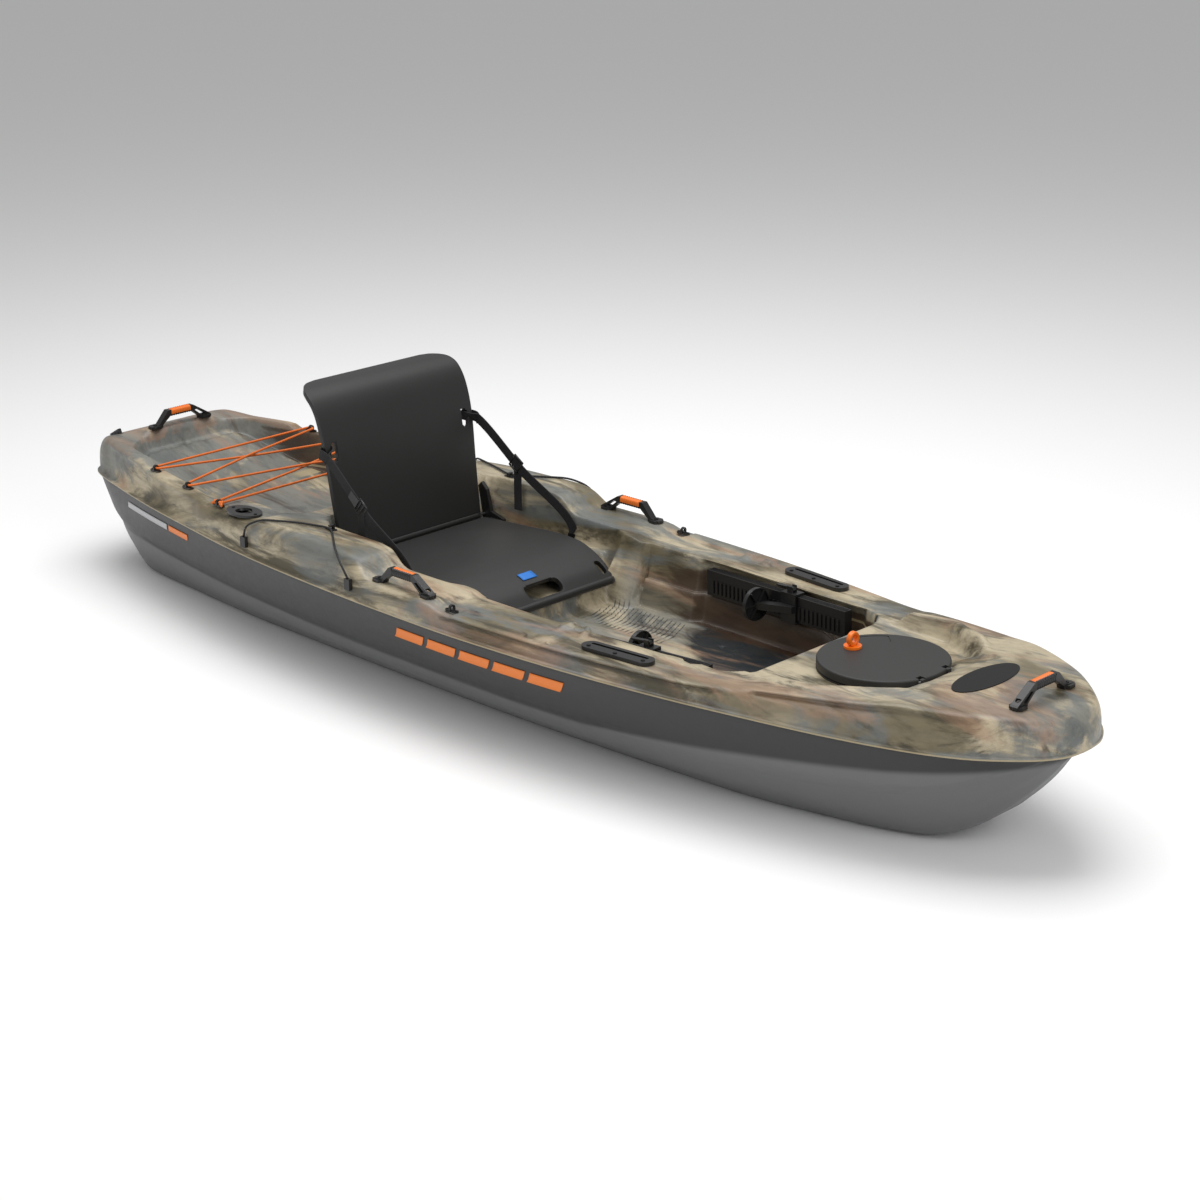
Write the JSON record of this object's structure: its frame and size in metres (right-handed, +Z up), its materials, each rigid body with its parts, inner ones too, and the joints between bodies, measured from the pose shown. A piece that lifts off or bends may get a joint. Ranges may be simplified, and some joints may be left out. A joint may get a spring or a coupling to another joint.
{
  "type": "sit-on-top fishing kayak",
  "caption": "Sit-on-top fishing kayak with footwell, tank well, folding seat, round bow hatch, carry handles, gear tracks, rod holders and sliding foot pedals.",
  "frame": {"origin": "centre of the bounding box's bottom face, on the ground under the middle of the hull", "axes": "+X to the bow, +Y to port, +Z up"},
  "size_m": [3, 0.83, 0.6459],
  "materials": {
    "hull_plastic": "satin",
    "deck_plastic": "satin, marbled camouflage",
    "foam": "raw foam",
    "seal_rubber": "matte",
    "lid_plastic": "fine grain",
    "orange_plastic": "satin",
    "seat_plastic": "fine grain",
    "orange_cord": "braided",
    "plaque_plastic": "gloss",
    "tag_fabric": "woven",
    "orange_rubber": "ribbed",
    "webbing": "woven webbing",
    "black_cord": "braided",
    "steel": "stainless",
    "black_plastic": "satin"
  },
  "bodies": {
    "kayak": {"bungee_hooks": "black_plastic", "bungee_tabs": "black_plastic", "deck_shell": "deck_plastic", "drain_seat": "black_plastic", "foam_blocks": "foam", "foot_rail_port": "black_plastic", "foot_rail_screws": "steel", "foot_rail_starboard": "black_plastic", "gear_track_port": "black_plastic", "gear_track_screws": "steel", "gear_track_starboard": "black_plastic", "grip_bow": "orange_rubber", "grip_port": "orange_rubber", "grip_starboard": "orange_rubber", "grip_stern": "orange_rubber", "handle_bow": "black_plastic", "handle_port": "black_plastic", "handle_screws": "steel", "handle_starboard": "black_plastic", "handle_stern": "black_plastic", "hatch_gasket": "seal_rubber", "hatch_rim": "black_plastic", "hatch_rim_screws": "steel", "hull_shell": "hull_plastic", "pad_eye_screws": "steel", "plaque": "plaque_plastic", "rod_holder_port": "black_plastic", "rod_holder_screws": "steel", "rod_holder_starboard": "black_plastic", "seat_base": "seat_plastic", "seat_hinge_brackets": "black_plastic", "seat_tag": "tag_fabric", "side_bungee_port": "black_cord", "side_bungee_starboard": "black_cord", "side_eyelets": "black_plastic", "strap_anchors": "black_plastic", "strap_buckles": "black_plastic", "strap_port": "webbing", "strap_starboard": "webbing", "strap_tails": "webbing", "tank_bungee": "orange_cord", "tank_pad_eyes": "black_plastic"},
    "seat_back": {"seat_back": "seat_plastic", "seat_hinge_pins": "steel"},
    "hatch_lid": {"hatch_lid": "lid_plastic", "hatch_hinge_pins": "steel"},
    "hatch_knob": {"hatch_knob": "orange_plastic", "hatch_cam": "black_plastic"},
    "pedal_port": {"pedal_port": "black_plastic"},
    "pedal_starboard": {"pedal_starboard": "black_plastic"},
    "pedal_latch_port": {"pedal_latch_port": "black_plastic"},
    "pedal_latch_starboard": {"pedal_latch_starboard": "black_plastic"},
    "drain_plug": {"drain_plug": "black_plastic"}
  },
  "joints": [
    {"name": "seat_back_fold", "type": "hinge", "parent": "kayak", "child": "seat_back", "pos_m": [-0.44, 0, 0.252], "axis": [0, 1, 0], "range_deg": [0, 85], "deforming": ["strap_port", "strap_starboard", "strap_buckles", "strap_tails"]},
    {"name": "hatch_lid_hinge", "type": "hinge", "parent": "kayak", "child": "hatch_lid", "pos_m": [1.134, 0, 0.306], "axis": [0, 1, 0], "range_deg": [0, 105]},
    {"name": "hatch_knob_turn", "type": "hinge", "parent": "hatch_lid", "child": "hatch_knob", "pos_m": [0.922, 0, 0.312], "axis": [0, 0, 1], "range_deg": [0, 90]},
    {"name": "pedal_port_slide", "type": "slide", "parent": "kayak", "child": "pedal_port", "axis": [0.9973, -0.0696, 0.0232], "range_m": [-0.16, 0.14]},
    {"name": "pedal_latch_port_press", "type": "hinge", "parent": "pedal_port", "child": "pedal_latch_port", "pos_m": [0.56347, 0.23253, 0.29614], "axis": [-0.0696, -0.9976, -0.0016], "range_deg": [0, 8], "stiffness_Nm_per_rad": 0.3, "springref_deg": -2.86},
    {"name": "pedal_starboard_slide", "type": "slide", "parent": "kayak", "child": "pedal_starboard", "axis": [0.9973, 0.0696, 0.0232], "range_m": [-0.16, 0.14]},
    {"name": "pedal_latch_starboard_press", "type": "hinge", "parent": "pedal_starboard", "child": "pedal_latch_starboard", "pos_m": [0.56347, -0.23253, 0.29614], "axis": [0.0696, -0.9976, 0.0016], "range_deg": [0, 8], "stiffness_Nm_per_rad": 0.3, "springref_deg": -2.86},
    {"name": "drain_plug_turn", "type": "hinge", "parent": "kayak", "child": "drain_plug", "pos_m": [-1.432, -0.15, 0.33978], "axis": [-0.4856, 0, 0.8742], "range_deg": [0, 360]}
  ]
}
